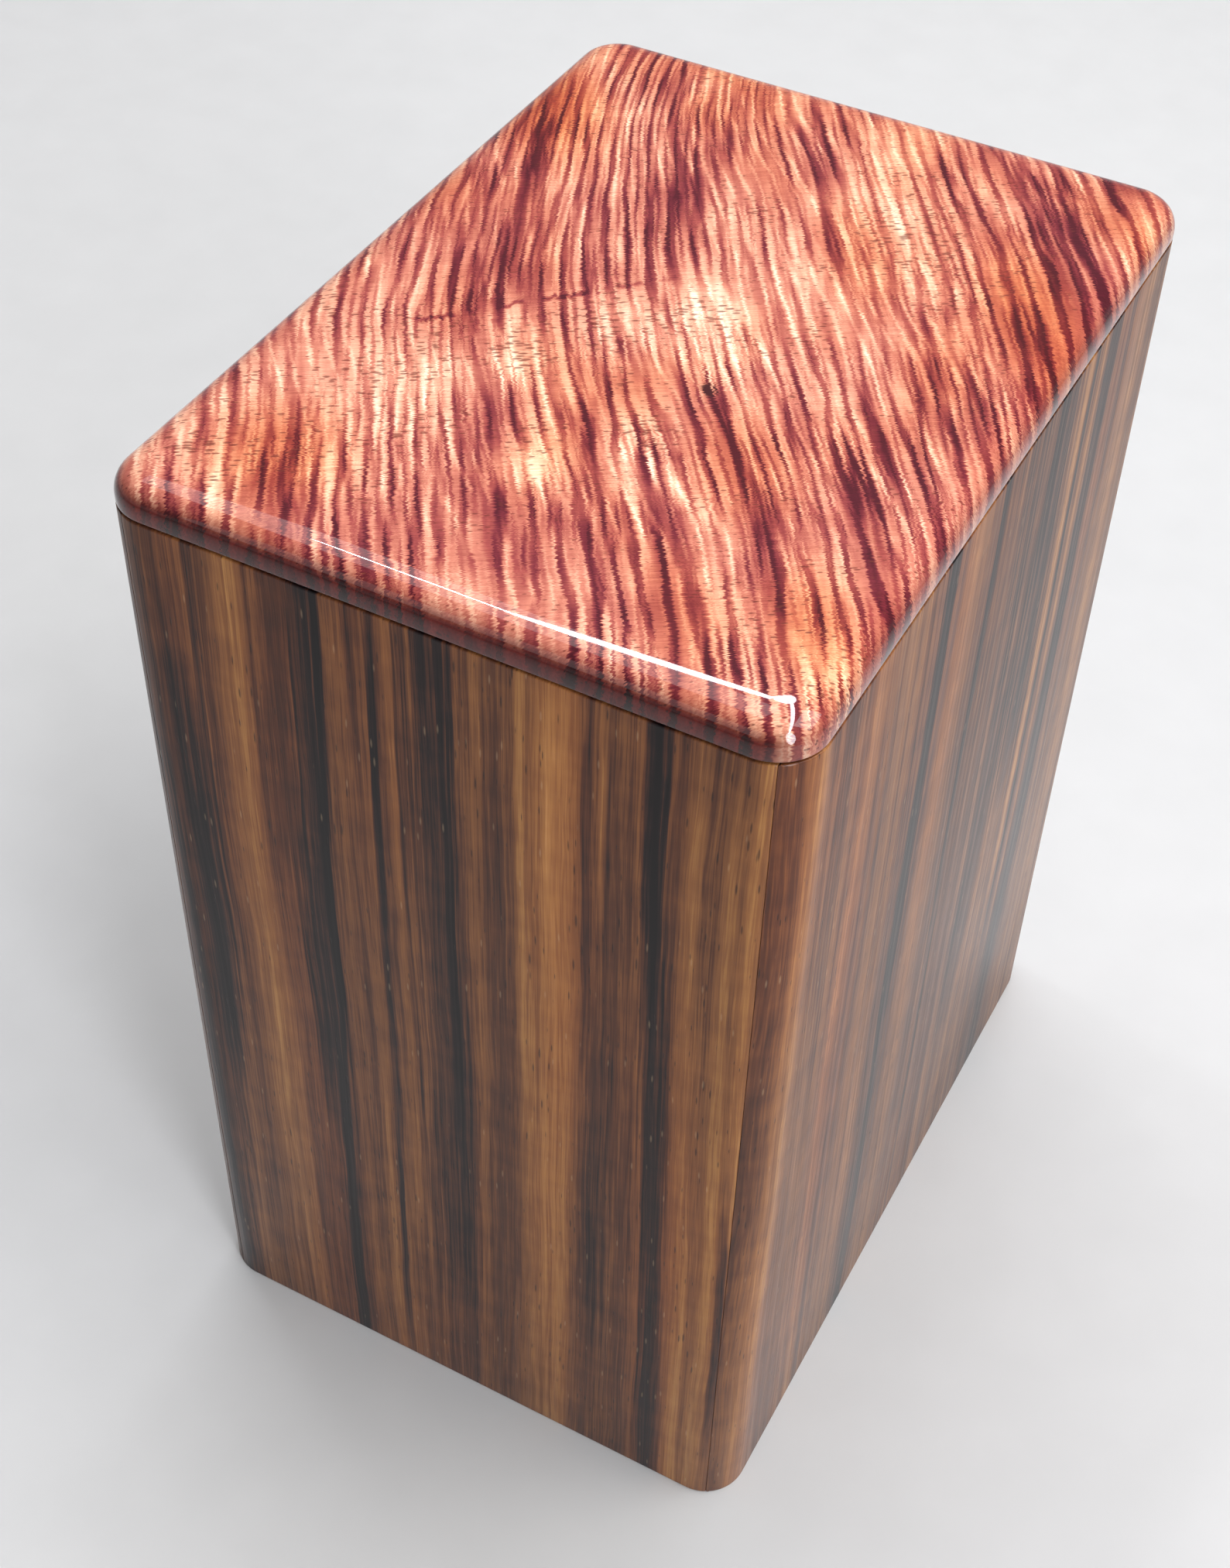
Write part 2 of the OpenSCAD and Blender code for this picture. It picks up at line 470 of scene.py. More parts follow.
def lid_figure(n, lines, bent, t, turned):
    """The curl: dark lines, fine lines and pale crossing threads, about 0. Also its two finer noises."""
    broad = n.noise(lines, (0.0085, 0.050, 0.04), detail=1.0, seed=1.7)
    middle = n.noise(lines, (0.0036, 0.036, 0.03), detail=1.0, roughness=0.6, seed=5.2)
    hair = n.noise(lines, (0.0010, 0.018, 0.02), detail=1.0, roughness=0.6, seed=2.9)
    gather = n.noise(turned, (0.018, 0.026, 0.03), detail=1.0, seed=14.0)
    scatter = n.noise(turned, (0.016, 0.022, 0.03), detail=1.0, seed=17.0)
    wide = waves(n, lines, bent, 0.0046, 50.0, (0.60, 0.86))
    close = waves(n, lines, bent, 0.0023, 60.0, (0.62, 0.88))
    slanted = n.math("MULTIPLY_ADD", t, 0.10, bent)
    threads = waves(n, lines, slanted, 0.0034, 80.0, (0.78, 0.98))
    figure = n.add_up(
        n.swing(broad, 0.08),
        n.swing(middle, 0.09),
        n.swing(hair, 0.13),
        n.times(n.times(wide, n.fade(gather, 0.25, 0.65, 0.15, 1.0)), -0.38),
        n.times(n.times(close, n.fade(scatter, 0.35, 0.62)), -0.27),
        n.times(n.times(threads, n.fade(gather, 0.62, 0.34, 0.2, 1.0)), 0.17),
    )
    return figure, middle, hair


def lid_tone(n, turned, figure, middle, light, dark, feather):
    """How light the wood is, from 0 to 1."""
    cloud = n.noise(turned, (0.05, 0.022, 0.03), detail=2.0, seed=12.3)
    dark = n.times(dark, n.scale(middle, 0.36, 0.60, 1.0, 0.5))
    return n.add_up(
        0.60,
        n.times(figure, n.scale(light, 0, 1, 1.1, 0.75)),
        n.swing(cloud, 0.08),
        n.times(light, 0.26),
        n.times(dark, -0.56),
        n.times(growth_line(n, n.times(feather, 0.3)), -0.35),
    )


def lid_warmth(n, turned, s, t):
    """How orange the wood is, from 0 to 1."""
    drift = n.noise(turned, (0.03, 0.05, 0.03), detail=1.0, seed=21.0)
    patches = n.times(patch_field(n, s, t, WARM_PATCHES), 0.8)
    return n.math("MAXIMUM", n.scale(drift, 0.50, 0.78, 0.0, 0.6), patches)


def lid_pores(n, turned, s, t, z, light):
    """Short dark dashes along the grain, from 0 to 1, more of them in the light areas."""
    thinning = n.noise(turned, (0.016, 0.010, 0.02), detail=1.0, seed=31.0)
    reach = n.add_up(n.scale(thinning, 0.35, 0.65, 0.08, 0.32), n.times(light, 0.22))
    dashes = n.cells(n.vector(s, t, z), (0.0026, 0.00085, 0.0012), seed=4.4)
    return n.fade(n.math("DIVIDE", dashes, reach), 1.0, 0.5)


def painted_flank_shade(n, z):
    """Painted shade on the lid's rounded side, from 0 to 1, less on the right where it catches the
    light.
    """
    side = n.fade(z, lid_high.z - 0.8 * MM, lid_high.z - 4.2 * MM)
    x = n.axes(n.place())[0]
    return n.times(side, n.fade(x, lid_high.x - 1 * MM, lid_high.x - 9 * MM, 0.45, 1.0))


def curly_wood():
    """Highly figured red-orange wood under a deep polished lacquer."""
    n = Nodes("curly_wood")
    turned = curl_frame(n)
    s, t, z = n.axes(turned)
    bent = curl_coordinates(n, turned, s, t)
    figure, middle, hair = lid_figure(n, n.vector(bent, t, z), bent, t, turned)
    feather = n.swing(hair, 3 * MM, 0.25, 0.75)
    along = n.math("ADD", bent, n.times(feather, 0.4))
    across = n.math("ADD", t, n.times(feather, 3.5))
    dark = patch_field(n, along, across, DARK_PATCHES)
    light = patch_field(n, along, across, LIGHT_PATCHES)
    tone = lid_tone(n, turned, figure, middle, light, dark, feather)

    colour = n.ramp(tone, LID_TONES)
    colour = n.mix(lid_warmth(n, turned, s, t), colour, srgb(238, 190, 124), "MULTIPLY")
    pore = lid_pores(n, turned, s, t, z, light)
    colour = n.mix(n.times(pore, 0.75), colour, srgb(104, 44, 34))
    fibre = n.noise(turned, (0.0045, 0.00026, 0.0006), detail=2.0, roughness=0.6, seed=6.0)
    colour = n.mix(n.scale(fibre, 0.36, 0.66, 0.0, 0.42), colour, srgb(160, 92, 74), "MULTIPLY")
    knot = patch_field(n, along, t, (KNOT,))
    colour = n.mix(n.fade(knot, 0.2, 0.8), colour, srgb(58, 16, 18))
    # Painted shade: the lid's rounded side is darkened with dark red-brown, less so on the right
    colour = n.mix(painted_flank_shade(n, z), colour, srgb(108, 40, 36), "MULTIPLY")

    grain = n.add_up(n.times(middle, 0.6), n.times(hair, 0.4))
    wave = n.noise(turned, (0.05, 0.05, 0.05), detail=0.0, seed=40.0)
    n.set(
        Base_Color=colour,
        Roughness=n.scale(tone, 0, 1, 0.5, 0.4),
        Normal=n.bump(grain, BUMP_DEPTH, 0.25),
        Specular_IOR_Level=0.06,
        Coat_Weight=1.0,
        Coat_Roughness=0.035,
        Coat_IOR=1.5,
        Coat_Normal=n.bump(wave, BUMP_DEPTH, 0.4),
    )
    return n.material


# ---- the striped wood of the walls ----

# Upright streaks of each wall: place across the face in mm, half width in mm, strength (dark is
# positive), lean in mm over the wall's height, and the lowest and highest height in mm
FRONT_STREAKS = (
    (-67, 2.5, 0.3, 0, -40, 170),
    (-55, 6.5, 0.5, 8, -40, 215),
    (-51, 3.6, 0.75, 7, 90, 185),
    (-50, 1.4, 0.8, 3, 190, 260),
    (-27, 3.4, 0.7, 3, 90, 260),
    (-24, 0.9, 1.0, 4, 110, 260),
    (-26, 1.6, 0.8, 2, -20, 110),
    (-13, 0.9, 0.75, 2, 10, 225),
    (-7, 1.2, 0.5, 2, 170, 250),
    (-1, 5.6, 0.6, 0, 40, 260),
    (1.5, 1.6, 0.45, 0, 90, 240),
    (31, 1.1, 0.6, 0, 160, 260),
    (33, 3.0, 0.4, 0, 60, 150),
    (44, 3.2, 0.75, -5, -10, 250),
    (44, 1.0, 0.6, -4, 170, 260),
    (63, 0.9, 0.7, 0, 20, 110),
    (-42, 3.5, -0.25, 3, 60, 260),
    (-36, 2.5, -0.2, 2, -20, 150),
    (-18, 3.0, -0.15, 2, -20, 250),
    (-9.5, 1.3, -0.45, 1, 60, 260),
    (9, 3.0, -0.2, 0, -20, 250),
    (22, 6.5, -0.45, 0, -20, 240),
    (17, 1.2, -0.3, 0, 120, 260),
    (34, 0.8, -0.6, 0, 195, 245),
    (56, 7.0, -0.5, 0, -20, 230),
    (60, 1.6, -0.35, 0, 60, 230),
)
RIGHT_STREAKS = (
    (-88, 4.0, -0.55, 0, -20, 260),
    (-74, 2.0, 0.35, 0, 120, 260),
    (-58, 1.6, 0.35, 0, -20, 220),
    (-31, 3.2, 0.75, 2, -20, 260),
    (-6, 1.6, 0.7, -2, 100, 260),
    (-4, 1.0, 0.5, -2, -20, 120),
    (14, 8.0, 0.4, -8, 60, 260),
    (28, 7.0, 0.75, -6, 130, 260),
    (43, 1.2, 0.7, 0, 60, 260),
    (54, 5.0, 0.5, 0, -20, 260),
    (66, 1.4, 0.35, 0, 90, 260),
    (-19, 7.0, -0.45, 0, -20, 260),
    (-66, 12.0, -0.3, 0, -20, 260),
    (-44, 6.0, -0.25, 0, -20, 260),
    (39.5, 2.0, -0.6, 0, 80, 260),
    (48, 1.2, -0.45, 0, 60, 260),
    (75, 6.0, -0.3, 0, 40, 260),
)
BACK_STREAKS = (
    (-46, 4.0, 0.7, 4, -20, 260),
    (-44, 1.0, 0.8, 4, 40, 260),
    (-18, 1.2, 0.9, 2, 30, 260),
    (4, 5.0, 0.55, -3, -20, 260),
    (14, 1.2, 0.6, -2, 90, 260),
    (39, 2.8, 0.75, 3, -20, 260),
    (58, 1.0, 0.6, 0, 60, 200),
    (-31, 6.0, -0.45, 0, -20, 260),
    (-8, 2.0, -0.35, 0, -20, 260),
    (26, 5.0, -0.4, 0, -20, 260),
    (51, 6.0, -0.35, 0, -20, 260),
)
LEFT_STREAKS = (
    (-76, 3.0, 0.5, 0, -20, 260),
    (-60, 4.0, 0.65, 3, -20, 260),
    (-58, 1.0, 0.8, 3, 60, 260),
    (-22, 1.2, 0.9, 2, -20, 220),
    (10, 7.0, 0.5, -4, -20, 260),
    (33, 1.4, 0.55, 0, 80, 260),
    (47, 3.0, 0.75, 4, 40, 260),
    (71, 4.0, 0.5, 0, -20, 260),
    (-42, 7.0, -0.45, 0, -20, 260),
    (24, 3.0, -0.45, 0, -20, 260),
    (-8, 4.0, -0.35, 0, -20, 260),
    (59, 5.0, -0.4, 0, -20, 260),
)
STREAK_END = 25 * MM  # how far a streak takes to fade, either side of its ends

WALL_TONES = (
    (0.0, srgb(14, 9, 10)),
    (0.13, srgb(33, 20, 19)),
    (0.33, srgb(82, 47, 29)),
    (0.55, srgb(128, 82, 45)),
    (0.78, srgb(169, 122, 68)),
    (1.0, srgb(204, 163, 106)),
)


def streak_field(n, bent, z, ragged, streaks):
    """The summed strength of upright streaks with ragged edges and fading ends."""
    total = 0.0
    for place, half_width, strength, lean, low, high in streaks:
        shift = n.scale(z, 0.0, WALL_TOP, (place - lean) * MM, place * MM)
        offset = n.math("ABSOLUTE", n.math("SUBTRACT", bent, shift))
        reach = n.math("MULTIPLY_ADD", ragged, half_width * 0.7 * MM, offset)
        core = n.fade(reach, half_width * 1.3 * MM, half_width * 0.3 * MM)
        foot = n.fade(z, low * MM - STREAK_END, low * MM + STREAK_END)
        head = n.fade(z, high * MM + STREAK_END, high * MM - STREAK_END)
        amount = n.times(n.times(core, foot), head)
        total = n.math("MULTIPLY_ADD", amount, strength, total)
    return total


def wall_bend(n, board, across, seed):
    """The place across the board, bent so that the stripes sway."""
    sway = n.noise(board, (0.05, 0.05, 0.13), detail=1.0, seed=seed + 1.5)
    fine_sway = n.noise(board, (0.006, 0.02, 0.022), detail=1.0, seed=seed + 2.5)
    return n.add_up(across, n.swing(sway, 2.5 * MM, 0, 1), n.swing(fine_sway, 0.4 * MM, 0, 1))


def wall_tone(n, board, fibres, line, thread, streak, seed):
    """How light the wood is, from 0 to 1."""
    band = n.noise(fibres, (0.013, 0.03, 0.5), detail=1.0, seed=seed + 3.5)
    stripe = n.noise(fibres, (0.0042, 0.012, 0.26), detail=2.0, roughness=0.6, seed=seed + 4.5)
    mottle = n.noise(board, (0.011, 0.02, 0.007), detail=2.0, seed=seed + 12.5)
    return n.add_up(
        n.scale(band, NOISE_LOW, NOISE_HIGH, 0.31, 0.47),
        n.swing(stripe, 0.12),
        n.swing(line, 0.09),
        n.swing(thread, 0.07),
        n.swing(mottle, 0.035),
        n.times(streak, -0.36),
    )


def wall_pores(n, fibres, seed):
    """Short upright dark dashes, from 0 to 1, closer together in places."""
    pores = n.cells(fibres, (0.0012, 0.0012, 0.0085), seed=seed)
    rare = n.noise(fibres, (0.006, 0.006, 0.05), seed=seed + 7.0)
    return n.fade(n.math("DIVIDE", pores, n.scale(rare, 0.35, 0.7, 0.08, 0.28)), 1.0, 0.4)


def striped_wood(name, faces, streaks, seed):
    """Dark brown wood with upright stripes. faces is the axis across the board: "x" or "y"."""
    n = Nodes(name)
    x, y, z = n.axes(n.place())
    across, depth = (x, y) if faces == "x" else (y, x)
    board = n.vector(across, depth, z)
    bent = wall_bend(n, board, across, seed)
    fibres = n.vector(bent, depth, z)
    line = n.noise(fibres, (0.0010, 0.004, 0.09), detail=2.0, roughness=0.65, seed=seed + 5.5)
    thread = n.noise(fibres, (0.00030, 0.0012, 0.014), detail=1.0, roughness=0.6, seed=seed + 6.5)
    streak = streak_field(n, bent, z, n.swing(line, 0.5), streaks)
    tone = wall_tone(n, board, fibres, line, thread, streak, seed)

    colour = n.ramp(tone, WALL_TONES)
    hue = n.noise(fibres, (0.02, 0.03, 0.2), detail=1.0, seed=seed + 9.0)
    colour = n.mix(n.scale(hue, 0.45, 0.75, 0.0, 0.5), colour, srgb(244, 192, 166), "MULTIPLY")
    pore = wall_pores(n, fibres, seed)
    colour = n.mix(n.times(pore, 0.65), colour, srgb(26, 17, 15))
    fleck = n.fade(n.cells(fibres, (0.0024, 0.0024, 0.013), seed=seed + 11.0), 0.12, 0.04)
    colour = n.mix(n.times(fleck, 0.16), colour, srgb(206, 176, 138))

    height = n.add_up(n.times(line, 0.25), n.times(thread, 0.2), n.times(pore, -0.55))
    wave = n.noise(board, (0.03, 0.03, 0.09), detail=1.0, seed=seed + 8.0)
    slow = n.add_up(n.times(wave, 0.9), n.times(line, 0.1))
    n.set(
        Base_Color=colour,
        Roughness=n.scale(line, NOISE_LOW, NOISE_HIGH, 0.55, 0.42),
        Normal=n.bump(height, 0.00012, 0.6),
        Specular_IOR_Level=0.1,
        Coat_Weight=0.45,
        Coat_Roughness=0.15,
        Coat_IOR=1.45,
        Coat_Normal=n.bump(slow, BUMP_DEPTH, 0.35),
    )
    return n.material


# ---- other materials ----


def inner_wood(name, along, seed, light=(186, 140, 96)):
    """Plain oiled wood of the inside pieces. along is the axis of its grain: 0, 1 or 2."""
    n = Nodes(name)
    x, y, z = n.axes(n.place())
    rest = [v for i, v in enumerate((x, y, z)) if i != along]
    fibres = n.vector(rest[0], rest[1], (x, y, z)[along])
    rings = n.noise(fibres, (0.006, 0.006, 0.16), detail=3.0, roughness=0.6, seed=seed)
    thread = n.noise(fibres, (0.0005, 0.0005, 0.02), detail=2.0, seed=seed + 2.0)
    tone = n.add_up(n.scale(rings, NOISE_LOW, NOISE_HIGH, 0.1, 0.8), n.swing(thread, 0.12))
    colour = n.ramp(tone, ((0.0, srgb(120, 80, 52)), (1.0, srgb(*light))))
    pores = n.cells(fibres, (0.0012, 0.0012, 0.009), seed=seed + 5.0)
    pore = n.fade(pores, 0.17, 0.0)
    colour = n.mix(n.times(pore, 0.5), colour, srgb(62, 40, 28))
    n.set(
        Base_Color=colour,
        Roughness=n.scale(thread, NOISE_LOW, NOISE_HIGH, 0.62, 0.5),
        Normal=n.bump(n.add_up(n.times(thread, 0.4), n.times(pore, -0.6)), 0.0001, 0.6),
        Coat_Weight=0.15,
        Coat_Roughness=0.35,
    )
    return n.material


def metal(name, colour, tint, roughness, scratch_size, seed):
    """Bare metal with turning marks and a little tarnish."""
    n = Nodes(name)
    place = n.place()
    marks = n.noise(place, scratch_size, detail=3.0, roughness=0.7, seed=seed)
    tarnish = n.noise(place, (0.004, 0.004, 0.004), detail=3.0, seed=seed + 3.0)
    shade = n.mix(n.scale(tarnish, 0.4, 0.7, 0.0, 0.6), srgb(*colour), srgb(*tint))
    wear = n.add_up(n.times(marks, 0.6), n.times(tarnish, 0.4))
    n.set(
        Base_Color=shade,
        Metallic=1.0,
        Roughness=n.scale(wear, NOISE_LOW, NOISE_HIGH, roughness * 0.7, roughness * 1.4),
        Normal=n.bump(marks, 0.00003, 0.4),
    )
    return n.material


def felt():
    """Dark green pressed wool."""
    n = Nodes("felt")
    place = n.place()
    fuzz = n.noise(place, (0.0006, 0.0006, 0.0006), detail=4.0, roughness=0.75, seed=1.0)
    clump = n.noise(place, (0.006, 0.006, 0.006), detail=3.0, roughness=0.6, seed=2.0)
    tone = n.add_up(n.times(fuzz, 0.65), n.times(clump, 0.35))
    colour = n.ramp(n.scale(tone, 0.32, 0.68, 0, 1), (
        (0.0, srgb(20, 34, 28)),
        (0.5, srgb(36, 58, 47)),
        (1.0, srgb(62, 88, 72)),
    ))
    n.set(
        Base_Color=colour,
        Roughness=n.scale(fuzz, NOISE_LOW, NOISE_HIGH, 0.98, 0.86),
        Normal=n.bump(fuzz, 0.0004, 0.8),
        Sheen_Weight=0.5,
        Sheen_Roughness=0.5,
        Specular_IOR_Level=0.15,
    )
    n.shader.inputs["Sheen Tint"].default_value = (*srgb(150, 180, 162), 1.0)
    return n.material


def floor_material():
    """Plain pale studio floor."""
    n = Nodes("studio_floor")
    grain = n.noise(n.place(), (0.02, 0.02, 0.02), detail=2.0, seed=1.0)
    n.set(
        Base_Color=n.mix(grain, srgb(184, 184, 182), srgb(190, 190, 188)),
        Roughness=0.75,
        Specular_IOR_Level=0.2,
    )
    return n.material


# ---- pieces ----


def lid_plate(material):
    """The lid plate: flat on top, its top edge falling away in one smooth curve to upright sides."""
    shoulder = 9.2 * MM  # where the curve starts, inwards from the side
    fall = 6.5 * MM  # how far the curve falls
    power = 2.4  # of the superellipse that the curve follows
    foot_ease = 0.35 * MM
    steps, foot_steps = 26, 4
    low, high = lid_low.z, lid_high.z
    rings = []

    def ring(distance, height):
        outline = rounded_rect(LID_W - 2 * distance, LID_D - 2 * distance, LID_R - distance)
        rings.append([(x, y, height) for x, y in outline])

    for i in range(foot_steps + 1):
        angle = math.pi / 2 * i / foot_steps
        ring(foot_ease * (1 - math.sin(angle)), low + foot_ease * (1 - math.cos(angle)))
    for i in range(steps + 1):
        angle = math.pi / 2 * i / steps
        out = max(0.0, math.cos(angle)) ** (2 / power)
        up = max(0.0, math.sin(angle)) ** (2 / power)
        ring(shoulder * (1 - out), high - fall + fall * up)
    bm = bmesh.new()
    loft(bm, rings)
    piece = new_piece("curly_lid", bm, material, smooth_angle=50)
    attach(piece, "lid")
    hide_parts("lid_top")


def joint_angle(x):
    """The angle in degrees at which the front right corner's round reaches x."""
    return -math.degrees(math.acos((x - CORNER[0]) / CORNER_R))


def front_outline():
    """The front board's section, anticlockwise, with its outer ends chamfered at the joint."""
    bend = arc(*CORNER, CORNER_R, -90, joint_angle(LIP_X - JOINT_GAP), 8)
    inner_y = -BODY_D / 2 + WALL_T
    half = bend + [(LIP_X, bend[-1][1] + CHAMFER_DEPTH), (LIP_X, inner_y)]
    return [(-x, y) for x, y in reversed(half)] + half


def side_outline():
    """The right board's section, anticlockwise, with a lip at each end."""
    bend = arc(*CORNER, CORNER_R, joint_angle(LIP_X + JOINT_GAP), 0, 12)
    shoulder_y = BODY_D / 2 - WALL_T
    inner_x = BODY_W / 2 - WALL_T
    half = [(inner_x, -shoulder_y), (LIP_X, -shoulder_y), (LIP_X, bend[0][1] + CHAMFER_DEPTH)]
    half += bend
    return half + [(x, -y) for x, y in reversed(half)]


def wall(name, node, outline, material):
    """One wall board between the floor and the seam."""
    bm = prism(outline, wall_low.z, WALL_TOP, ease_low=0.6 * MM, ease_high=0.35 * MM)
    piece = new_piece(name, bm, material, smooth_angle=35)
    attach(piece, "box")
    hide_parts(node)


def walls():
    """The four wall boards. Back and left are front and right turned half round."""
    front, side = front_outline(), side_outline()
    wall("front_wall", "front_board", front, striped_wood("striped_front", "x", FRONT_STREAKS, 0.0))
    back = [(-x, -y) for x, y in front]
    wall("back_wall", "back_board", back, striped_wood("striped_back", "x", BACK_STREAKS, 50.0))
    wall("right_wall", "right_board", side, striped_wood("striped_right", "y", RIGHT_STREAKS, 100.0))
    left = [(-x, -y) for x, y in side]
    wall("left_wall", "left_board", left, striped_wood("striped_left", "y", LEFT_STREAKS, 150.0))


def felt_face(bm, low, high, counts, z, inward):
    """One face of a felt sheet as rows of points, pressed in unevenly, and most at its rim."""
    across, along = counts
    rim_dent, face_dent, dents_per_metre = 0.45 * MM, 0.12 * MM, 120
    rows = []
    for j in range(along + 1):
        row = []
        for i in range(across + 1):
            x = low.x + (high.x - low.x) * i / across
            y = low.y + (high.y - low.y) * j / along
            p = Vector((x, y, z))
            on_rim = i in (0, across) or j in (0, along)
            dent = rim_dent if on_rim else face_dent * (1 + noise.noise(p * dents_per_metre))
            p.z += inward * dent
            row.append(bm.verts.new(p))
        rows.append(row)
    return rows


def rim(rows):
    """The points round the edge of a grid of rows, in order."""
    right = [row[-1] for row in rows[:-1]]
    left = [row[0] for row in reversed(rows[1:])]
    return rows[0][:-1] + right + list(reversed(rows[-1][1:])) + left


def felt_sheet(name, node, body, material):
    """A lining: a thin sheet with an uneven pressed surface and soft edges."""
    low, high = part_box(node)
    step = 3 * MM
    across, along = round((high.x - low.x) / step), round((high.y - low.y) / step)
    bm = bmesh.new()
    under = felt_face(bm, low, high, (across, along), low.z, 1)
    upper = felt_face(bm, low, high, (across, along), high.z, -1)
    for rows, flip in ((under, True), (upper, False)):
        for j in range(along):
            for i in range(across):
                face = [rows[j][i], rows[j][i + 1], rows[j + 1][i + 1], rows[j + 1][i]]
                bm.faces.new(list(reversed(face)) if flip else face)
    low_rim, high_rim = rim(under), rim(upper)
    for i in range(len(low_rim)):
        j = (i + 1) % len(low_rim)
        bm.faces.new((low_rim[i], low_rim[j], high_rim[j], high_rim[i]))
    piece = new_piece(name, bm, material, smooth_angle=180)
    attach(piece, body)
    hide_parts(node)


def finish_node(name, material, ease=0.0):
    """Gives a CAD node its material, and eases its edges where ease is more than 0."""
    node = frame["nodes"][name]
    node.data.materials.clear()
    node.data.materials.append(material)
    if ease > 0:
        bevel = node.modifiers.new("eased_edges", "BEVEL")
        bevel.width = ease
        bevel.segments = 2
        bevel.limit_method = "ANGLE"
        bevel.angle_limit = math.radians(40)


def inner_pieces():
    """Looks for the pieces inside the box and under the lid."""
    side_rail = inner_wood("rail_wood_y", 1, 3.0)
    end_rail = inner_wood("rail_wood_x", 0, 13.0)
    plug = inner_wood("plug_wood", 1, 23.0, light=(176, 128, 84))
    base = inner_wood("base_wood", 1, 33.0)
    brass = metal("brass", (214, 170, 92), (150, 108, 52), 0.28, (0.0002, 0.0002, 0.003), 1.0)
    steel = metal("pin_steel", (190, 192, 196), (150, 150, 152), 0.22, (0.002, 0.002, 0.0002), 2.0)
    zinc = metal("screw_steel", (176, 170, 152), (130, 122, 104), 0.35, (0.0004, 0.0004, 0.0004), 3.0)
    nickel = metal("magnet", (206, 206, 208), (170, 168, 164), 0.16, (0.001, 0.001, 0.001), 4.0)
    for side in SIDES:
        finish_node("rail_" + side, end_rail if side in ("front", "back") else side_rail)
        finish_node("sleeve_" + side, brass)
        finish_node("bush_" + side, brass)
        finish_node("magnet_" + side, nickel)
        finish_node("pin_" + side, steel, ease=0.4 * MM)
    finish_node("plug_board", plug)
    finish_node("plug_screws", zinc)
    finish_node("base_panel", base, ease=0.3 * MM)
    wool = felt()
    felt_sheet("base_felt", "base_lining", "box", wool)
    felt_sheet("lid_felt", "lid_lining", "lid", wool)


# ---- the studio ----


def floor():
    """A square of pale floor, 6 m wide."""
    bm = bmesh.new()
    bmesh.ops.create_grid(bm, x_segments=2, y_segments=2, size=3.0)
    piece = new_piece("studio_floor", bm, floor_material())


def new_light(name, shape, size, power, colour):
    """An area light. size is its width and height in metres."""
    data = bpy.data.lights.new(name, "AREA")
    data.shape = shape
    data.size, data.size_y = size
    data.energy = power
    data.color = colour
    lamp = bpy.data.objects.new(name, data)
    bpy.context.scene.collection.objects.link(lamp)
    return lamp


def soft_light(name, place, target, size, power, colour=(1, 1, 1)):
    """A rectangular light at place that faces target."""
    lamp = new_light(name, "RECTANGLE", size, power, colour)
    lamp.location = place
    lamp.rotation_euler = (Vector(target) - Vector(place)).to_track_quat("-Z", "Y").to_euler()


def strip_light(name, start, end, width, power, colour):
    """A long thin light from start to end that faces the top of the box."""
    start, end = Vector(start), Vector(end)
    middle = (start + end) / 2
    along = (end - start).normalized()
    back = (middle - Vector((0, 0, WALL_TOP))).normalized()
    back = (back - along * back.dot(along)).normalized()
    turn = Matrix((along, back.cross(along), back)).transposed()
    lamp = new_light(name, "ELLIPSE", ((end - start).length, width), power, colour)
    lamp.matrix_world = Matrix.Translation(middle) @ turn.to_4x4()


# The room's greys: height, as the sine of the angle above the horizon, and shade
ROOM_SHADES = ((0.0, 1.0), (0.08, 0.85), (0.20, 0.36), (0.55, 0.42), (1.0, 0.52))
ROOM_BLUE = 1.03  # how much more blue than red


def world():
    """A soft grey room, a little brighter overhead and pale at floor level."""
    scene_world = bpy.data.worlds.new("studio")
    bpy.context.scene.world = scene_world
    scene_world.use_nodes = True
    tree = scene_world.node_tree
    background = tree.nodes["Background"]
    place = tree.nodes.new("ShaderNodeTexCoord")
    split = tree.nodes.new("ShaderNodeSeparateXYZ")
    ramp = tree.nodes.new("ShaderNodeValToRGB")
    tree.links.new(place.outputs["Generated"], split.inputs[0])
    tree.links.new(split.outputs["Z"], ramp.inputs[0])
    tree.links.new(ramp.outputs["Color"], background.inputs["Color"])
    band = ramp.color_ramp
    for height, _ in ROOM_SHADES[1:-1]:
        band.elements.new(height)
    for element, (_, shade) in zip(band.elements, ROOM_SHADES):
        element.color = (shade, shade, shade * ROOM_BLUE, 1)
    background.inputs["Strength"].default_value = 0.42


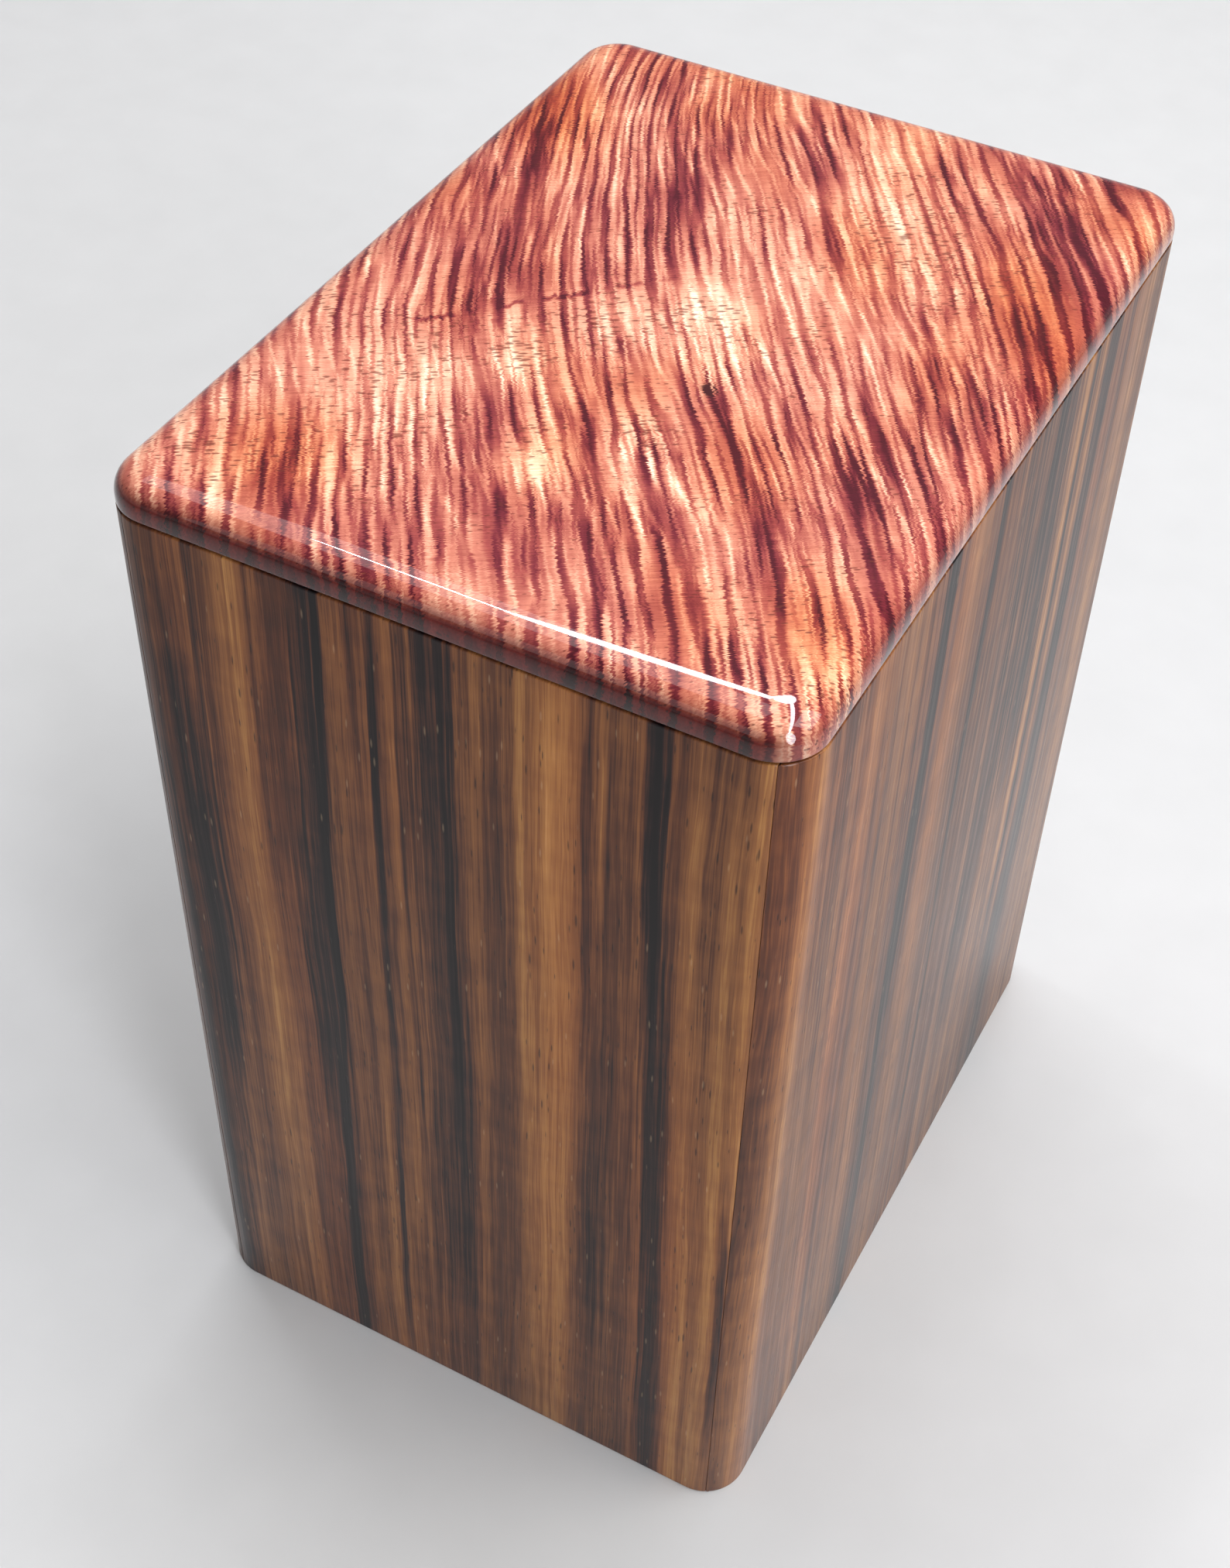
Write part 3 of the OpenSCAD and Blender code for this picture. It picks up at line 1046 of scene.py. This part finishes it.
def lights():
    """Long thin lights for the crisp lines on the lid's edge, and large soft lights around."""
    high = lid_high.z + 1.3
    cool = (0.93, 0.94, 1.0)
    strip_light("strip_left_end", (-0.72, 0.19, high), (-0.48, 0.24, high), 0.035, 2.2, cool)
    strip_light("strip_left", (-0.53, 0.17, high), (-0.37, 0.92, high), 0.085, 6, cool)
    strip_light("strip_joint", (-0.38, 0.94, high), (0.05, 0.78, high), 0.30, 7, cool)
    strip_light("strip_right", (-0.10, 0.90, high), (1.30, -1.00, high), 0.12, 16, cool)
    strip_light("strip_low", (1.16, -0.84, high), (1.56, -1.20, high - 1.25), 0.5, 24, cool)
    soft_light("key", (1.6, 0.6, 1.9), (0, 0, 0.2), (1.6, 1.6), 31, (1.0, 0.98, 0.97))
    soft_light("back", (-0.9, 0.3, 2.6), (0, 0, 0.2), (1.4, 1.4), 14, (1.0, 0.99, 0.98))
    soft_light("front_fill", (-0.6, -1.9, 1.2), (0, 0, 0.1), (1.2, 0.9), 2.5)


def camera():
    """The camera, aimed as the object is seen: turn about Z, tilt down, and a slight roll."""
    azimuth, elevation, roll = (math.radians(a) for a in (27.01, 45.27, 1.72))
    place = (0.1620, -0.3418, 0.5009)
    lens_mm, sensor_mm = 53.493, 36
    back = Vector((
        math.sin(azimuth) * math.cos(elevation),
        -math.cos(azimuth) * math.cos(elevation),
        math.sin(elevation),
    ))
    level = Vector((0, 0, 1)).cross(back).normalized()
    up = back.cross(level)
    right = level * math.cos(roll) + up * math.sin(roll)
    up = back.cross(right)
    data = bpy.data.cameras.new("camera")
    data.sensor_width = sensor_mm
    data.lens = lens_mm
    cam = bpy.data.objects.new("camera", data)
    bpy.context.scene.collection.objects.link(cam)
    turn = Matrix((right, up, back)).transposed()
    cam.matrix_world = Matrix.Translation(place) @ turn.to_4x4()
    bpy.context.scene.camera = cam


def colour_view():
    """Plain display colours, with no film look."""
    view = bpy.context.scene.view_settings
    view.view_transform = "Standard"
    view.look = "None"


camera()
colour_view()
world()
lights()
floor()
lid_plate(curly_wood())
walls()
inner_pieces()
